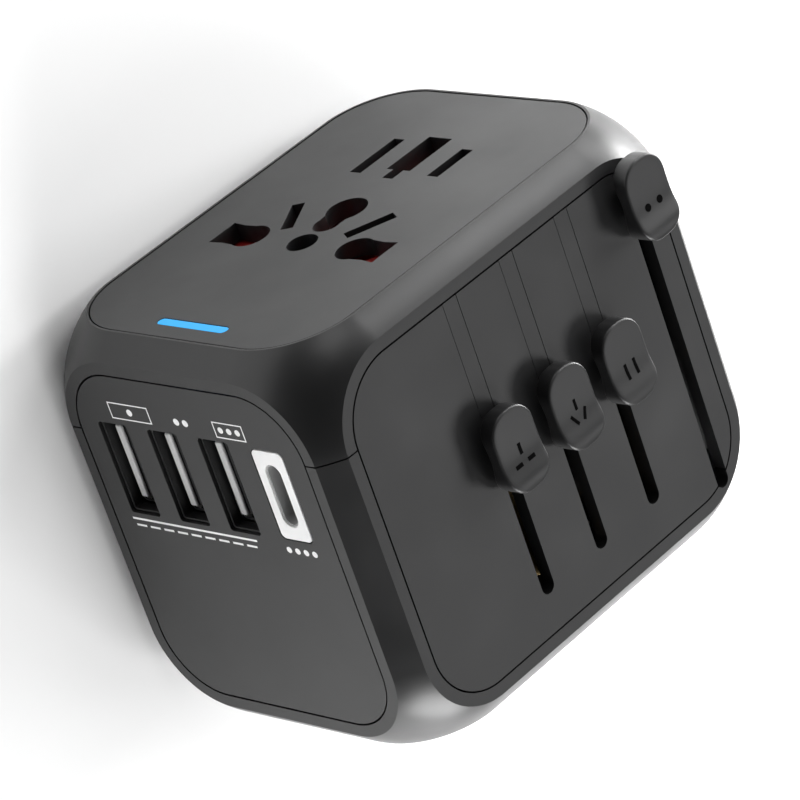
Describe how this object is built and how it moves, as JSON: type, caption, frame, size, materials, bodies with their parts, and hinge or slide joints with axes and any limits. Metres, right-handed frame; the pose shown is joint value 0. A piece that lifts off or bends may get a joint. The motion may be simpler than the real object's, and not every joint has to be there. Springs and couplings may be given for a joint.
{
  "type": "universal travel adapter",
  "caption": "Cube-shaped universal travel adapter with sliding pins for several countries, a universal shuttered socket face and USB ports.",
  "frame": {"origin": "middle of the bounding box's underside, where the adapter stands", "axes": "+X out of the USB side, -Y out of the socket side, +Y the way the pins slide out, +Z out of the side with the slider knobs"},
  "size_m": [0.068, 0.057, 0.0543],
  "materials": {
    "charcoal_plastic": "fine satin charcoal",
    "black_plastic": "matte black inner plastic",
    "white_plastic": "white",
    "red_plastic": "red shutter plastic",
    "lit_blue_light_pipe": "lit blue indicator",
    "nickel_steel": "nickel plated",
    "brass": "bright brass",
    "circuit_board": "green solder mask",
    "transformer_tape": "yellow tape",
    "fuse_ceramic": "pale ceramic"
  },
  "bodies": {
    "case": {"socket_housing": "charcoal_plastic", "plug_housing": "charcoal_plastic", "socket_plate": "charcoal_plastic", "usb_panel": "charcoal_plastic", "slider_panel": "charcoal_plastic", "slot_strip_uk": "charcoal_plastic", "slot_strip_aus": "charcoal_plastic", "slot_strip_us": "charcoal_plastic", "capacitor_1": "black_plastic", "capacitor_2": "black_plastic", "usb_c_tongue": "black_plastic", "usb_a_tongue_1": "white_plastic", "usb_a_tongue_2": "white_plastic", "usb_a_tongue_3": "white_plastic", "usb_c_bezel": "white_plastic", "led_light_pipe": "lit_blue_light_pipe", "usb_a_shell_1": "nickel_steel", "usb_a_shell_2": "nickel_steel", "usb_a_shell_3": "nickel_steel", "case_screw_1": "nickel_steel", "case_screw_2": "nickel_steel", "case_screw_3": "nickel_steel", "case_screw_4": "nickel_steel", "contact_live": "brass", "contact_neutral": "brass", "contact_earth": "brass", "circuit_board": "circuit_board", "transformer": "transformer_tape", "fuse": "fuse_ceramic"},
    "uk_slider": {"uk_knob": "charcoal_plastic", "uk_carriage": "black_plastic", "uk_pin_live": "brass", "uk_pin_neutral": "brass", "uk_pin_earth": "brass"},
    "aus_slider": {"aus_knob": "charcoal_plastic", "aus_carriage": "black_plastic", "aus_blade_1": "brass", "aus_blade_2": "brass"},
    "us_slider": {"us_knob": "charcoal_plastic", "us_carriage": "black_plastic", "us_blade_1": "brass", "us_blade_2": "brass"},
    "eu_slider": {"eu_knob": "charcoal_plastic", "eu_tower": "charcoal_plastic", "eu_pin_1": "nickel_steel", "eu_pin_2": "nickel_steel"},
    "shutter": {"shutter": "red_plastic"}
  },
  "joints": [
    {"name": "uk_slider_travel", "type": "slide", "parent": "case", "child": "uk_slider", "axis": [0, 1, 0], "range_m": [0, 0.019]},
    {"name": "aus_slider_travel", "type": "slide", "parent": "case", "child": "aus_slider", "axis": [0, 1, 0], "range_m": [0, 0.019]},
    {"name": "us_slider_travel", "type": "slide", "parent": "case", "child": "us_slider", "axis": [0, 1, 0], "range_m": [0, 0.019]},
    {"name": "eu_slider_travel", "type": "slide", "parent": "case", "child": "eu_slider", "axis": [0, 1, 0], "range_m": [0, 0.04]},
    {"name": "shutter_travel", "type": "slide", "parent": "case", "child": "shutter", "axis": [-1, 0, 0], "range_m": [0, 0.0047], "stiffness_N_per_m": 200, "springref_m": -0.001}
  ]
}
